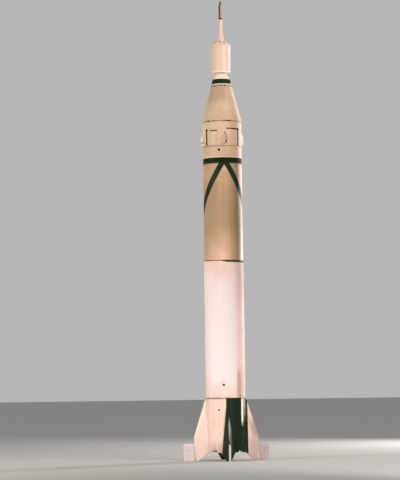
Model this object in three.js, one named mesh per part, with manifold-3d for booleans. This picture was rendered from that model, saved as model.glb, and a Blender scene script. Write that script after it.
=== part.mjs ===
// A four-stage satellite launcher of the late 1950s, standing on its four fins.
// Millimetres, +Z up. The origin is on the rocket's axis in the plane of the fins' feet.
// Fin 1 points along -Y, fin 2 along +X, fin 3 along +Y and fin 4 along -X.

import * as THREE from 'three';
import { ConvexGeometry } from 'three/addons/geometries/ConvexGeometry.js';
import { mergeVertices } from 'three/addons/utils/BufferGeometryUtils.js';
import Module from 'manifold-3d';

const wasm = await Module();
wasm.setup();

// Driving dimensions
const BODY_RADIUS = 889;
const TOTAL_HEIGHT = 21200;
const GAP = 0.3;
const BODY_SIDES = 72;
const TUB_SIDES = 48;
const SLIM_SIDES = 32;
const SHAFT_SIDES = 24;

// Heights of the joints between the stacked pieces
const TAIL_BOTTOM = 370;
const TAIL_TOP = 2822;
const LOWER_TANK_BOTTOM = 2848;
const LOWER_TANK_TOP = 9085;
const UPPER_TANK_BOTTOM = 9125;
const UPPER_TANK_TOP = 13557;
const BAND_TOP = 13817;
const INSTRUMENT_BOTTOM = 14370;
const INSTRUMENT_TOP = 15505;
const TAPER_BOTTOM = 15620;
const ADAPTER_BOTTOM = 17275;
const HOUSING_BOTTOM = 17495;
const HOUSING_TOP = 17800;
const TUB_BOTTOM = 17808;
const FLANGE_BOTTOM = 19000;
const FLANGE_TOP = 19060;
const COVER_TOP = 19262;
const CASE_BOTTOM = 19650;
const CASE_TOP = 20300;
const TUBE_BOTTOM = 20375;
const NOSE_BOTTOM = 20900;

// Radii above the body
const JOINT_RING_RADIUS = 860;
const ADAPTER_BOTTOM_RADIUS = 452;
const ADAPTER_TOP_RADIUS = 413;
const HOUSING_BOTTOM_RADIUS = 398;
const HOUSING_TOP_RADIUS = 217;
const TUB_RADIUS = 430;
const FLANGE_RADIUS = 452;
const COVER_BOTTOM_RADIUS = 440;
const COVER_TOP_RADIUS = 296;
const SUPPORT_BOTTOM_RADIUS = 160;
const SUPPORT_TOP_RADIUS = 100;
const CASE_RADIUS = 82;
const ANTENNA_GAP_RADIUS = 74;
const NOSE_TIP_RADIUS = 20;
const SPINDLE_RADIUS = 120;
const SPINDLE_BOTTOM = 17600;
const BEARING_GAP = 1;

// Tail shell and what it holds
const SHELL_WALL = 40;
const SHELL_INNER_RADIUS = BODY_RADIUS - SHELL_WALL;
const NOTCH_HALF_WIDTH = 170;
const NOTCH_HEIGHT = 100;
const BASE_PLATE_HOLE_RADIUS = 450;
const BASE_PLATE_BOTTOM = 700;
const BASE_PLATE_TOP = 730;
const NOZZLE_EXIT_HEIGHT = 680;
const NOZZLE_THROAT_HEIGHT = 1450;
const NOZZLE_EXIT_RADIUS = 430;
const NOZZLE_THROAT_RADIUS = 165;
const NOZZLE_WALL = 20;
const ENGINE_RADIUS = 300;
const ENGINE_WAIST_HEIGHT = 1700;
const ENGINE_SHOULDER_HEIGHT = 2300;
const THRUST_FRAME_RADIUS = 600;

// Steering: each fin carries a rudder outside and a jet vane in the exhaust, on one radial line
const STEERING_AXIS_HEIGHT = 485;
const RUDDER_INNER = 1485;
const RUDDER_OUTER = 1960;
const RUDDER_SHAFT_RADIUS = 22;
const RUDDER_SHAFT_END = 1310;
const VANE_INNER = 195;
const VANE_OUTER = 400;
const VANE_SHAFT_RADIUS = 25;
const VANE_SHAFT_END = 620;
const BRACKET_INNER = 445;
const BRACKET_HALF_WIDTH = 50;
const BRACKET_BOTTOM = 425;

// Small fittings of the lower tank and of the ring under the doors
const VENT = { angle: -10.1, height: 3440, radius: 55, hole: 38, proud: 14 };
const FILL_CAP = { angle: 5, height: 3430, radius: 70, hole: 0, proud: 9 };
const BREATHER_HOLE = { angle: -14.9, height: 14166, radius: 55, depth: 60 };

// Fin outline and wedge: out = distance from the axis, up = height, half = half thickness there.
// A stub beside the body is nearly square, the panel outside it narrows to the tip, and the front edge is beveled.
const FIN_STUB_OUT = 963;
const FIN_POINTS = [
  { out: 800, up: 2815, half: 58 },
  { out: 899, up: 2810, half: 48 },
  { out: 950, up: 2752, half: 16 },
  { out: 985, up: 2660, half: 16 },
  { out: 1472, up: 1090, half: 16 },
  { out: 899, up: 2633, half: 66 },
  { out: FIN_STUB_OUT, up: 2427, half: 88 },
  { out: 1386, up: 1063, half: 38 },
  { out: 1468, up: 775, half: 32 },
  { out: 1400, up: 0, half: 66 },
  { out: 1310, up: 0, half: 110 },
  { out: FIN_STUB_OUT, up: 305, half: 298 },
  { out: 800, up: 448, half: 306 },
];

// Rudder and jet vane sections: half = half thickness, up = height, from top edge to bottom edge
const RUDDER_SECTION = [
  { half: 6, up: 763 },
  { half: 23, up: 640 },
  { half: 30, up: 450 },
  { half: 24, up: 0 },
];
const VANE_SECTION = [
  { half: 6, up: 650 },
  { half: 18, up: 595 },
  { half: 15, up: 385 },
  { half: 5, up: 330 },
];

// Attitude-jet fairings: out = distance from the axis, up = height, half = half width
const FAIRING_POINTS = [
  { out: 870, up: 15020, half: 22 },
  { out: 893, up: 15010, half: 12 },
  { out: 870, up: 14640, half: 128 },
  { out: 985, up: 14780, half: 40 },
  { out: 985, up: 14600, half: 62 },
  { out: 870, up: 14442, half: 82 },
  { out: 965, up: 14448, half: 52 },
];

// Access doors: angles in degrees from fin 1 towards fin 2, and heights
const DOORS = [
  { name: 'access_door_1', from: 8.5, to: 48, bottom: 14420, top: 15130 },
  { name: 'access_door_2', from: -55.5, to: -22, bottom: 14420, top: 15100 },
  { name: 'access_door_3', from: 188.5, to: 228, bottom: 14420, top: 15130 },
  { name: 'access_door_4', from: 124.5, to: 158, bottom: 14420, top: 15100 },
];
const DOOR_DEPTH = 20;
const DOOR_PROUD = 3;
const DOOR_STEP = 2.5;

// Four copies around the axis, fin 1 first
const COPIES = [
  { number: 1, turn: -90 },
  { number: 2, turn: 0 },
  { number: 3, turn: 90 },
  { number: 4, turn: 180 },
];

const PAINTS = {
  white: { color: 0xe9dfd3, roughness: 0.45, metalness: 0.0 },
  cream: { color: 0xc9b493, roughness: 0.5, metalness: 0.0 },
  buff: { color: 0xa68f6e, roughness: 0.55, metalness: 0.0 },
  black: { color: 0x1c1d1b, roughness: 0.45, metalness: 0.0 },
  frost: { color: 0xf1e9e6, roughness: 0.75, metalness: 0.0 },
  steel: { color: 0x8d8880, roughness: 0.35, metalness: 0.9 },
  darkSteel: { color: 0x4a4038, roughness: 0.4, metalness: 0.8 },
  carbon: { color: 0x2c2b2a, roughness: 0.8, metalness: 0.1 },
};

const radians = (degrees) => THREE.MathUtils.degToRad(degrees);

// A closed triangle mesh as a solid that can be joined and cut
function solid(geometry) {
  const bare = geometry.clone();
  bare.deleteAttribute('normal');
  bare.deleteAttribute('uv');
  const merged = mergeVertices(bare, 1e-3);
  const corners = merged.index.array;
  const kept = [];
  for (let i = 0; i < corners.length; i += 3) {
    const [a, b, c] = [corners[i], corners[i + 1], corners[i + 2]];
    if (a !== b && b !== c && c !== a) kept.push(a, b, c);
  }
  return new wasm.Manifold(new wasm.Mesh({
    numProp: 3,
    vertProperties: new Float32Array(merged.attributes.position.array),
    triVerts: new Uint32Array(kept),
  }));
}

// The triangles of a solid
function geometryOf(manifold) {
  const mesh = manifold.getMesh();
  const geometry = new THREE.BufferGeometry();
  geometry.setAttribute('position', new THREE.BufferAttribute(new Float32Array(mesh.vertProperties), 3));
  geometry.setIndex(new THREE.BufferAttribute(new Uint32Array(mesh.triVerts), 1));
  geometry.computeVertexNormals();
  return geometry;
}

// A solid turned about the Z axis, from its outline as [radius, height] pairs
function turned(outline, sides) {
  const profile = outline.map(([radius, height]) => new THREE.Vector2(radius, height));
  const geometry = new THREE.LatheGeometry(profile, sides);
  geometry.rotateX(Math.PI / 2);
  return solid(geometry);
}

// A full disc, drum or cone frustum
function drum(bottom, top, bottomRadius, topRadius, sides) {
  return turned([[0, bottom], [bottomRadius, bottom], [topRadius, top], [0, top]], sides);
}

// A ring with a square section
function ring(bottom, top, inner, outer, sides) {
  return turned([[inner, bottom], [outer, bottom], [outer, top], [inner, top], [inner, bottom]], sides);
}

// A round bar along the radial line of fin 2, at the steering axis
function radialBar(from, to, radius, height, sides) {
  const geometry = new THREE.CylinderGeometry(radius, radius, to - from, sides);
  geometry.rotateZ(-Math.PI / 2);
  geometry.translate((from + to) / 2, 0, height);
  return solid(geometry);
}

// A block along the radial line of fin 2
function radialBlock(from, to, halfWidth, bottom, top) {
  const geometry = new THREE.BoxGeometry(to - from, 2 * halfWidth, top - bottom);
  geometry.translate((from + to) / 2, 0, (bottom + top) / 2);
  return solid(geometry);
}

// A blade of constant section along the radial line of fin 2
function radialBlade(section, from, to) {
  const left = section.map(({ half, up }) => new THREE.Vector2(-half, up));
  const right = section.map(({ half, up }) => new THREE.Vector2(half, up)).reverse();
  const shape = new THREE.Shape([...left, ...right]);
  const geometry = new THREE.ExtrudeGeometry(shape, { depth: to - from, bevelEnabled: false });
  const outward = new THREE.Matrix4().makeBasis(
    new THREE.Vector3(0, 1, 0), new THREE.Vector3(0, 0, 1), new THREE.Vector3(1, 0, 0));
  geometry.applyMatrix4(outward);
  geometry.translate(from, 0, 0);
  return solid(geometry);
}

// The hull of points given in mirrored pairs about the plane of fin 2
function pairedHull(points) {
  const corners = points.flatMap(({ out, up, half }) => [
    new THREE.Vector3(out, half, up), new THREE.Vector3(out, -half, up)]);
  return solid(new ConvexGeometry(corners));
}

// A curved panel between two radii and two angles, counted from fin 1 towards fin 2
function curvedPanel(inner, outer, from, to, bottom, top) {
  const start = radians(from - 90);
  const end = radians(to - 90);
  const shape = new THREE.Shape();
  shape.absarc(0, 0, outer, start, end, false);
  shape.absarc(0, 0, inner, end, start, true);
  const steps = Math.round((to - from) / DOOR_STEP);
  const geometry = new THREE.ExtrudeGeometry(shape, { depth: top - bottom, bevelEnabled: false, curveSegments: steps });
  geometry.translate(0, 0, bottom);
  return solid(geometry);
}

// A piece turned from the fin 2 side to an angle counted from fin 1 towards fin 2
function turnTo(manifold, angle) {
  return manifold.rotate([0, 0, angle - 90]);
}

const bodyCutter = drum(-100, TOTAL_HEIGHT, BODY_RADIUS + GAP, BODY_RADIUS + GAP, BODY_SIDES);
const shellBore = drum(-100, TAIL_TOP, SHELL_INNER_RADIUS - GAP, SHELL_INNER_RADIUS - GAP, BODY_SIDES);

// Tail shell: open below, with a shallow notch in its lower edge between each two fins
function tailShell() {
  let shell = ring(TAIL_BOTTOM, TAIL_TOP, SHELL_INNER_RADIUS, BODY_RADIUS, BODY_SIDES);
  const notch = radialBlock(SHELL_INNER_RADIUS - SHELL_WALL, BODY_RADIUS + SHELL_WALL, NOTCH_HALF_WIDTH,
    TAIL_BOTTOM - NOTCH_HEIGHT, TAIL_BOTTOM + NOTCH_HEIGHT);
  for (const { turn } of COPIES) shell = shell.subtract(notch.rotate([0, 0, turn + 45]));
  return shell;
}

// Fin: a wedge that is thin in front and thick behind, bored at its tip for the rudder's shaft
function fin() {
  const bore = radialBar(RUDDER_SHAFT_END, RUDDER_OUTER, RUDDER_SHAFT_RADIUS + BEARING_GAP,
    STEERING_AXIS_HEIGHT, SHAFT_SIDES);
  return pairedHull(FIN_POINTS).subtract(bodyCutter).subtract(bore);
}

function rudder() {
  const blade = radialBlade(RUDDER_SECTION, RUDDER_INNER, RUDDER_OUTER);
  const shaft = radialBar(RUDDER_SHAFT_END + GAP, RUDDER_INNER + RUDDER_SHAFT_RADIUS, RUDDER_SHAFT_RADIUS,
    STEERING_AXIS_HEIGHT, SHAFT_SIDES);
  return blade.add(shaft);
}

function jetVane() {
  const blade = radialBlade(VANE_SECTION, VANE_INNER, VANE_OUTER);
  const shaft = radialBar(VANE_OUTER - VANE_SHAFT_RADIUS, VANE_SHAFT_END - GAP, VANE_SHAFT_RADIUS,
    STEERING_AXIS_HEIGHT, SHAFT_SIDES);
  return blade.add(shaft);
}

function vaneBracket() {
  const block = radialBlock(BRACKET_INNER, BODY_RADIUS, BRACKET_HALF_WIDTH, BRACKET_BOTTOM, BASE_PLATE_BOTTOM - GAP);
  const bore = radialBar(0, VANE_SHAFT_END, VANE_SHAFT_RADIUS + BEARING_GAP, STEERING_AXIS_HEIGHT, SHAFT_SIDES);
  return block.intersect(shellBore).subtract(bore);
}

// Engine nozzle: a bell, open below and closed at the throat
function engineNozzle() {
  const outer = new THREE.QuadraticBezierCurve(
    new THREE.Vector2(NOZZLE_EXIT_RADIUS, NOZZLE_EXIT_HEIGHT),
    new THREE.Vector2(0.72 * NOZZLE_EXIT_RADIUS, (NOZZLE_EXIT_HEIGHT + NOZZLE_THROAT_HEIGHT) / 2),
    new THREE.Vector2(NOZZLE_THROAT_RADIUS, NOZZLE_THROAT_HEIGHT));
  const wall = outer.getPoints(6).map((point) => [point.x, point.y]);
  const lining = wall.slice(0, -1).map(([radius, height]) => [radius - NOZZLE_WALL, height]).reverse();
  const closed = [...wall, [0, NOZZLE_THROAT_HEIGHT], [0, lining[0][1]], ...lining, wall[0]];
  return turned(closed, TUB_SIDES);
}

function engineBlock() {
  return turned([[0, NOZZLE_THROAT_HEIGHT], [NOZZLE_THROAT_RADIUS, NOZZLE_THROAT_HEIGHT],
    [ENGINE_RADIUS, ENGINE_WAIST_HEIGHT], [ENGINE_RADIUS, ENGINE_SHOULDER_HEIGHT],
    [THRUST_FRAME_RADIUS, TAIL_TOP], [0, TAIL_TOP]], TUB_SIDES);
}

// A round fitting on the body's skin
function skinFitting({ angle, height, radius, hole, proud }) {
  const outer = BODY_RADIUS + proud;
  let fitting = radialBar(BODY_RADIUS - proud, outer, radius, height, SHAFT_SIDES);
  if (hole > 0) fitting = fitting.subtract(radialBar(BODY_RADIUS - 2 * proud, outer + proud, hole, height, SHAFT_SIDES));
  return turnTo(fitting, angle).subtract(bodyCutter);
}

// The ring under the doors, with one round breather hole
function instrumentBase() {
  const { angle, height, radius, depth } = BREATHER_HOLE;
  const hole = turnTo(radialBar(BODY_RADIUS - depth, BODY_RADIUS + depth, radius, height, SHAFT_SIDES), angle);
  return drum(BAND_TOP, INSTRUMENT_BOTTOM, BODY_RADIUS, BODY_RADIUS, BODY_SIDES).subtract(hole);
}

// The instrument section, recessed for its doors
function instrumentSection() {
  let section = drum(INSTRUMENT_BOTTOM, INSTRUMENT_TOP, BODY_RADIUS, BODY_RADIUS, BODY_SIDES);
  for (const { from, to, bottom, top } of DOORS) {
    section = section.subtract(
      curvedPanel(BODY_RADIUS - DOOR_DEPTH, BODY_RADIUS + DOOR_DEPTH, from, to, bottom, top));
  }
  return section;
}

function accessDoor({ from, to, bottom, top }) {
  const sideGap = THREE.MathUtils.radToDeg(GAP / BODY_RADIUS);
  return curvedPanel(BODY_RADIUS - DOOR_DEPTH + GAP, BODY_RADIUS + DOOR_PROUD,
    from + sideGap, to - sideGap, bottom + GAP, top - GAP);
}

// A blister over one set of attitude jets
function jetFairing() {
  return pairedHull(FAIRING_POINTS).subtract(bodyCutter);
}

function noseSection() {
  return turned([[0, INSTRUMENT_TOP], [BODY_RADIUS, INSTRUMENT_TOP], [BODY_RADIUS, TAPER_BOTTOM],
    [ADAPTER_BOTTOM_RADIUS, ADAPTER_BOTTOM], [0, ADAPTER_BOTTOM]], BODY_SIDES);
}

// The fixed half of the tub's turntable, bored for the spindle
function bearingHousing() {
  const bore = SPINDLE_RADIUS + BEARING_GAP;
  return turned([[0, HOUSING_BOTTOM], [HOUSING_BOTTOM_RADIUS, HOUSING_BOTTOM], [HOUSING_TOP_RADIUS, HOUSING_TOP],
    [bore, HOUSING_TOP], [bore, SPINDLE_BOTTOM], [0, SPINDLE_BOTTOM]], TUB_SIDES);
}

// The spinning tub with its spindle
function tub() {
  return turned([[0, SPINDLE_BOTTOM + GAP], [SPINDLE_RADIUS, SPINDLE_BOTTOM + GAP], [SPINDLE_RADIUS, TUB_BOTTOM],
    [TUB_RADIUS, TUB_BOTTOM], [TUB_RADIUS, FLANGE_BOTTOM], [0, FLANGE_BOTTOM]], TUB_SIDES);
}

// The nose cone: an ogive with a small round tip
function noseCone() {
  const ogive = new THREE.QuadraticBezierCurve(
    new THREE.Vector2(CASE_RADIUS, NOSE_BOTTOM),
    new THREE.Vector2(0.8 * CASE_RADIUS, (NOSE_BOTTOM + TOTAL_HEIGHT) / 2),
    new THREE.Vector2(NOSE_TIP_RADIUS, TOTAL_HEIGHT - NOSE_TIP_RADIUS));
  const outline = ogive.getPoints(7).map((point) => [point.x, point.y]);
  return turned([[0, NOSE_BOTTOM], ...outline, [0, TOTAL_HEIGHT]], SLIM_SIDES);
}

const rocket = new THREE.Group();

function place(name, manifold, paint, parent = rocket) {
  const mesh = new THREE.Mesh(geometryOf(manifold), new THREE.MeshStandardMaterial(PAINTS[paint]));
  mesh.name = name;
  parent.add(mesh);
}

// Tail and engine
place('tail_shell', tailShell(), 'white');
place('base_plate', ring(BASE_PLATE_BOTTOM, BASE_PLATE_TOP, BASE_PLATE_HOLE_RADIUS, SHELL_INNER_RADIUS - GAP,
  BODY_SIDES), 'steel');
place('engine_nozzle', engineNozzle(), 'darkSteel');
place('engine_block', engineBlock(), 'steel');

for (const { number, turn } of COPIES) {
  const quarter = new THREE.Group();
  quarter.rotation.z = radians(turn);
  rocket.add(quarter);
  place(`fin_${number}`, fin(), 'white', quarter);
  place(`rudder_${number}`, rudder(), 'white', quarter);
  place(`jet_vane_${number}`, jetVane(), 'carbon', quarter);
  place(`vane_bracket_${number}`, vaneBracket(), 'steel', quarter);
  place(`jet_fairing_${number}`, jetFairing(), 'cream', quarter);
}

// Tanks
place('tail_joint_ring', drum(TAIL_TOP, LOWER_TANK_BOTTOM, JOINT_RING_RADIUS, JOINT_RING_RADIUS, BODY_SIDES), 'black');
place('lower_tank', drum(LOWER_TANK_BOTTOM, LOWER_TANK_TOP, BODY_RADIUS, BODY_RADIUS, BODY_SIDES), 'frost');
place('vent_port', skinFitting(VENT), 'darkSteel');
place('fill_cap', skinFitting(FILL_CAP), 'frost');
place('tank_joint_ring', drum(LOWER_TANK_TOP, UPPER_TANK_BOTTOM, JOINT_RING_RADIUS, JOINT_RING_RADIUS, BODY_SIDES), 'black');
place('upper_tank', drum(UPPER_TANK_BOTTOM, UPPER_TANK_TOP, BODY_RADIUS, BODY_RADIUS, BODY_SIDES), 'buff');
place('separation_ring', drum(UPPER_TANK_TOP, BAND_TOP, BODY_RADIUS, BODY_RADIUS, BODY_SIDES), 'black');

// Instrument section and nose of the first stage
place('instrument_base', instrumentBase(), 'cream');
place('instrument_section', instrumentSection(), 'cream');
for (const door of DOORS) place(door.name, accessDoor(door), 'cream');
place('nose_section', noseSection(), 'cream');
place('nose_adapter', drum(ADAPTER_BOTTOM, HOUSING_BOTTOM, ADAPTER_BOTTOM_RADIUS, ADAPTER_TOP_RADIUS, TUB_SIDES), 'black');
place('bearing_housing', bearingHousing(), 'white');

// Spinning upper stages
place('tub', tub(), 'white');
place('tub_flange', drum(FLANGE_BOTTOM, FLANGE_TOP, FLANGE_RADIUS, FLANGE_RADIUS, TUB_SIDES), 'white');
place('tub_cover', drum(FLANGE_TOP, COVER_TOP, COVER_BOTTOM_RADIUS, COVER_TOP_RADIUS, TUB_SIDES), 'white');
place('support_cone', drum(COVER_TOP, CASE_BOTTOM, SUPPORT_BOTTOM_RADIUS, SUPPORT_TOP_RADIUS, SLIM_SIDES), 'white');
place('motor_case', drum(CASE_BOTTOM, CASE_TOP, CASE_RADIUS, CASE_RADIUS, SLIM_SIDES), 'white');
place('antenna_gap', drum(CASE_TOP, TUBE_BOTTOM, ANTENNA_GAP_RADIUS, ANTENNA_GAP_RADIUS, SLIM_SIDES), 'darkSteel');
place('instrument_tube', drum(TUBE_BOTTOM, NOSE_BOTTOM, CASE_RADIUS, CASE_RADIUS, SLIM_SIDES), 'darkSteel');
place('nose_cone', noseCone(), 'white');

export default rocket;
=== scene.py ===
"""Looks of a four-stage satellite launcher: camera, light, finishes, frost and small parts of its skin."""
import math

import bmesh
import bpy
from mathutils import Matrix, Vector, noise
from mathutils.bvhtree import BVHTree


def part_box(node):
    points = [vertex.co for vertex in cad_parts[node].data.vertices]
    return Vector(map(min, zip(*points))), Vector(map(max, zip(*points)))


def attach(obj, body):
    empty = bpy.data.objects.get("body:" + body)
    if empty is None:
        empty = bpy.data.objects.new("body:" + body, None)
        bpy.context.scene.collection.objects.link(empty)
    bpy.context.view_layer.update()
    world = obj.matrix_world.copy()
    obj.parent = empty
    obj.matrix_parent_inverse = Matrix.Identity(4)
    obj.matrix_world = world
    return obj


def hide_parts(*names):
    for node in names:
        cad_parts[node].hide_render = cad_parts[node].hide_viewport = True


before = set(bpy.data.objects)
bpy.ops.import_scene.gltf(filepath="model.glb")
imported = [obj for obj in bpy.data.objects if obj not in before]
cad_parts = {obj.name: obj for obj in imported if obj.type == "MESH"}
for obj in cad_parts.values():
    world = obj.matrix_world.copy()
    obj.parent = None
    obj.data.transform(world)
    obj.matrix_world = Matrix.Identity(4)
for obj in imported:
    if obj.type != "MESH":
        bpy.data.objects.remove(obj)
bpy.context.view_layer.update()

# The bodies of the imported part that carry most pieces
AIRFRAME = "airframe"
UPPER_STAGES = "upper_stages"

# Camera: a long lens far from the rocket, a little above the ground and tilted up
CAMERA_AZIMUTH = -5.2
CAMERA_DISTANCE = 101.02
CAMERA_HEIGHT = 3.082
CAMERA_PITCH = 3.973
CAMERA_YAW = -0.612
CAMERA_ROLL = -0.761
CAMERA_LENS = 165.24
SENSOR = 36.0
CAMERA_REACH = (1.0, 2500.0)

# Main sizes of the rocket in metres, and the angles of its four fins
BODY_RADIUS = 0.889
STEERING_HEIGHT = 0.485
FIN_ANGLES = (0.0, 90.0, 180.0, 270.0)
UPWARD = Vector((0.0, 0.0, 1.0))
DEGREES = 180.0 / math.pi


def box_heights(node):
    """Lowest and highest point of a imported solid."""
    low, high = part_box(node)
    return low.z, high.z


def outward(angle):
    """The level direction at an angle counted in degrees from fin 1 towards fin 2."""
    return Vector((math.sin(math.radians(angle)), -math.cos(math.radians(angle)), 0.0))


def sideways(angle):
    """The level direction at right angles to outward, towards rising angles."""
    return Vector((math.cos(math.radians(angle)), math.sin(math.radians(angle)), 0.0))


def at(angle, radius, height):
    """A point on a circle about the axis."""
    return outward(angle) * radius + UPWARD * height


def set_camera():
    """Places the camera from its measured direction, distance and tilt."""
    camera = bpy.data.objects.new("camera", bpy.data.cameras.new("camera"))
    camera.data.lens = CAMERA_LENS
    camera.data.sensor_width = SENSOR
    camera.data.clip_start, camera.data.clip_end = CAMERA_REACH
    place = Matrix.Translation(at(CAMERA_AZIMUTH, CAMERA_DISTANCE, CAMERA_HEIGHT))
    for turn, axis in ((CAMERA_AZIMUTH - CAMERA_YAW, "Z"), (90.0 + CAMERA_PITCH, "X"), (CAMERA_ROLL, "Z")):
        place = place @ Matrix.Rotation(math.radians(turn), 4, axis)
    camera.matrix_world = place
    bpy.context.scene.collection.objects.link(camera)
    bpy.context.scene.camera = camera


set_camera()

# Soft lights: the name of each, its angle, distance and height, the height it is aimed at, its width and
# height, the angle into which it shines, its power in watts and its colour
LIGHTS = (
    ("left_key", -60.0, 34.0, 9.0, 9.5, (12.0, 15.0), 180.0, 7200.0, (1.0, 0.91, 0.82)),
    ("front_key", 18.0, 30.0, 2.0, 3.2, (6.0, 4.0), 42.0, 292.0, (1.0, 0.91, 0.86)),
    ("rim", 133.5, 40.0, 9.0, 8.0, (4.0, 4.0), 180.0, 22000.0, (1.0, 0.94, 0.92)),
    ("top_fill", 36.0, 10.0, 20.0, 18.2, (5.0, 5.0), 180.0, 780.0, (1.0, 0.91, 0.84)),
    ("tub_fill", 78.0, 12.0, 19.0, 19.2, (2.0, 2.0), 30.0, 7.0, (1.0, 0.95, 0.92)),
)
WORLD_COLOUR = (0.95, 0.94, 0.92)
WORLD_STRENGTH = 0.5
FLOOR_RADIUS = 900.0
FLOOR_SIDES = 96
FLOOR_COLOUR = (0.42, 0.415, 0.4)


def set_lights():
    """The studio: a few broad soft lights and a pale sky."""
    for name, angle, distance, height, aim, size, spread, power, colour in LIGHTS:
        light = bpy.data.lights.new(name, "AREA")
        light.shape = "RECTANGLE"
        light.size, light.size_y = size
        light.spread = math.radians(spread)
        light.energy = power
        light.color = colour
        lamp = bpy.data.objects.new(name, light)
        lamp.location = at(angle, distance, height)
        towards = UPWARD * aim - lamp.location
        lamp.rotation_mode = "QUATERNION"
        lamp.rotation_quaternion = towards.to_track_quat("-Z", "Y")
        bpy.context.scene.collection.objects.link(lamp)
    world = bpy.data.worlds.new("pale_sky")
    world.use_nodes = True
    sky = world.node_tree.nodes["Background"]
    sky.inputs["Color"].default_value = (*WORLD_COLOUR, 1.0)
    sky.inputs["Strength"].default_value = WORLD_STRENGTH
    bpy.context.scene.world = world
    bpy.context.scene.view_settings.view_transform = "Standard"


NOISE_ROUGHNESS = 0.55


class Value:
    """A number or colour that a material works out at every point, so that formulas read as plain sums."""

    def __init__(self, surface, socket):
        self.surface = surface
        self.socket = socket

    def __add__(self, other):
        return self.surface.math("ADD", self, other)

    def __sub__(self, other):
        return self.surface.math("SUBTRACT", self, other)

    def __rsub__(self, other):
        return self.surface.math("SUBTRACT", other, self)

    def __mul__(self, other):
        return self.surface.math("MULTIPLY", self, other)

    def __truediv__(self, other):
        return self.surface.math("DIVIDE", self, other)

    def __abs__(self):
        return self.surface.math("ABSOLUTE", self)

    def step(self, low, high, at_low=0.0, at_high=1.0):
        """A smooth change from one number to another as this value passes a range."""
        inputs = dict(enumerate((self, low, high, at_low, at_high)))
        return self.surface.node("ShaderNodeMapRange", inputs, interpolation_type="SMOOTHSTEP")

    def window(self, before, rise, fall, after):
        """1 between two numbers and 0 outside them, with a smooth rise before and a smooth fall after."""
        return self.step(before, rise) * self.step(after, fall)


def larger(first, second):
    """The larger of two values at every point."""
    return first.surface.math("MAXIMUM", first, second)


class Surface:
    """A material being made: short calls that add shader nodes and join them."""

    def __init__(self, name):
        self.material = bpy.data.materials.new(name)
        self.material.use_nodes = True
        self.tree = self.material.node_tree
        self.place = self.node("ShaderNodeTexCoord", {}, "Object")
        split = self.tree.nodes.new("ShaderNodeSeparateXYZ")
        self.join(self.place, split.inputs[0])
        self.x, self.y, self.z = [Value(self, socket) for socket in split.outputs]

    def join(self, value, socket):
        """Feeds a socket from another node's output, a number or a colour."""
        if isinstance(value, Value):
            self.tree.links.new(value.socket, socket)
        elif isinstance(value, tuple) and len(value) < len(socket.default_value):
            socket.default_value = (*value, 1.0)
        else:
            socket.default_value = value

    def node(self, kind, inputs, output=0, **settings):
        """Adds a node with its settings, feeds its inputs and gives back one of its outputs."""
        node = self.tree.nodes.new(kind)
        for setting, choice in settings.items():
            setattr(node, setting, choice)
        for name, value in inputs.items():
            self.join(value, node.inputs[name])
        return Value(self, node.outputs[output])

    def math(self, operation, *values):
        return self.node("ShaderNodeMath", dict(enumerate(values)), operation=operation)

    def noise(self, scale, detail=3.0, stretch=(1.0, 1.0, 1.0)):
        """Cloudy variation between 0 and 1, finer along an axis whose stretch is large."""
        place = self.node("ShaderNodeMapping", {"Vector": self.place, "Scale": stretch})
        inputs = {"Vector": place, "Scale": scale, "Detail": detail, "Roughness": NOISE_ROUGHNESS}
        return self.node("ShaderNodeTexNoise", inputs, "Fac")

    def cells(self, scale):
        """Distance to the nearest of many scattered points."""
        return self.node("ShaderNodeTexVoronoi", {"Vector": self.place, "Scale": scale}, "Distance")

    def mix(self, share, first, second):
        """A colour between two colours."""
        return self.node("ShaderNodeMix", {"Factor": share, 6: first, 7: second}, 2, data_type="RGBA")

    def stains(self, colour, *rows):
        """A colour with stains laid over it in turn, each given by its mask, strength and colour."""
        for mask, strength, tone in rows:
            colour = self.mix(mask * strength, colour, tone)
        return colour

    def dim(self, colour, brightness):
        """A colour made brighter or darker by a number."""
        return self.node("ShaderNodeVectorMath", {0: colour, "Scale": brightness}, operation="SCALE")

    def bump(self, height, depth, onto=None):
        """Fine relief whose height runs from 0 to 1, for the given depth in metres."""
        inputs = {"Distance": depth, "Height": height}
        if onto is not None:
            inputs["Normal"] = onto
        return self.node("ShaderNodeBump", inputs)

    @property
    def angle(self):
        """Degrees from fin 1 towards fin 2, between -180 and 180."""
        return self.math("ARCTAN2", self.x, self.y * -1.0) * DEGREES

    @property
    def radius(self):
        """Distance from the rocket's axis."""
        return self.math("SQRT", self.x * self.x + self.y * self.y)

    def finish(self, colour, roughness, normal=None, gloss=0.5, metal=0.0, matt=0.4):
        """Joins the results to the shader and gives back the material."""
        results = {"Base Color": colour, "Roughness": roughness, "Specular IOR Level": gloss,
                   "Metallic": metal, "Diffuse Roughness": matt}
        if normal is not None:
            results["Normal"] = normal
        for name, value in results.items():
            self.join(value, self.tree.nodes["Principled BSDF"].inputs[name])
        return self.material


# Paint tones, and tones of painted light and painted highlights, as linear colours
WHITE = (0.84, 0.62, 0.53)
PANEL_WHITE = (0.74, 0.59, 0.57)
LIT_PINK_WHITE = (0.86, 0.7, 0.64)
EDGE_HIGHLIGHT_WHITE = (0.92, 0.8, 0.74)
ROOT_LIT_WHITE = (0.98, 0.68, 0.58)
RIM_HIGHLIGHT_WHITE = (1.0, 0.86, 0.8)
RUDDER_WHITE = (0.69, 0.59, 0.62)
RUDDER_SHADE = (0.5, 0.38, 0.34)
RIM_LIGHT_PALE = (0.9, 0.8, 0.76)
CREAM = (0.7, 0.513, 0.353)
CREAM_CLOUD = (0.66, 0.468, 0.318)
BUFF = (0.42, 0.289, 0.163)
BUFF_CLOUD = (0.44, 0.286, 0.178)
BUFF_COLD = (0.74, 0.49, 0.35)
BUFF_TOP = (0.6, 0.4, 0.25)
TUB_PALE = (0.8, 0.59, 0.46)
TURNTABLE_LIT_PALE = (0.93, 0.75, 0.6)
HOOP_LIT_WHITE = (0.88, 0.84, 0.76)
FAIRING_CREAM = (0.68, 0.49, 0.34)
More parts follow.
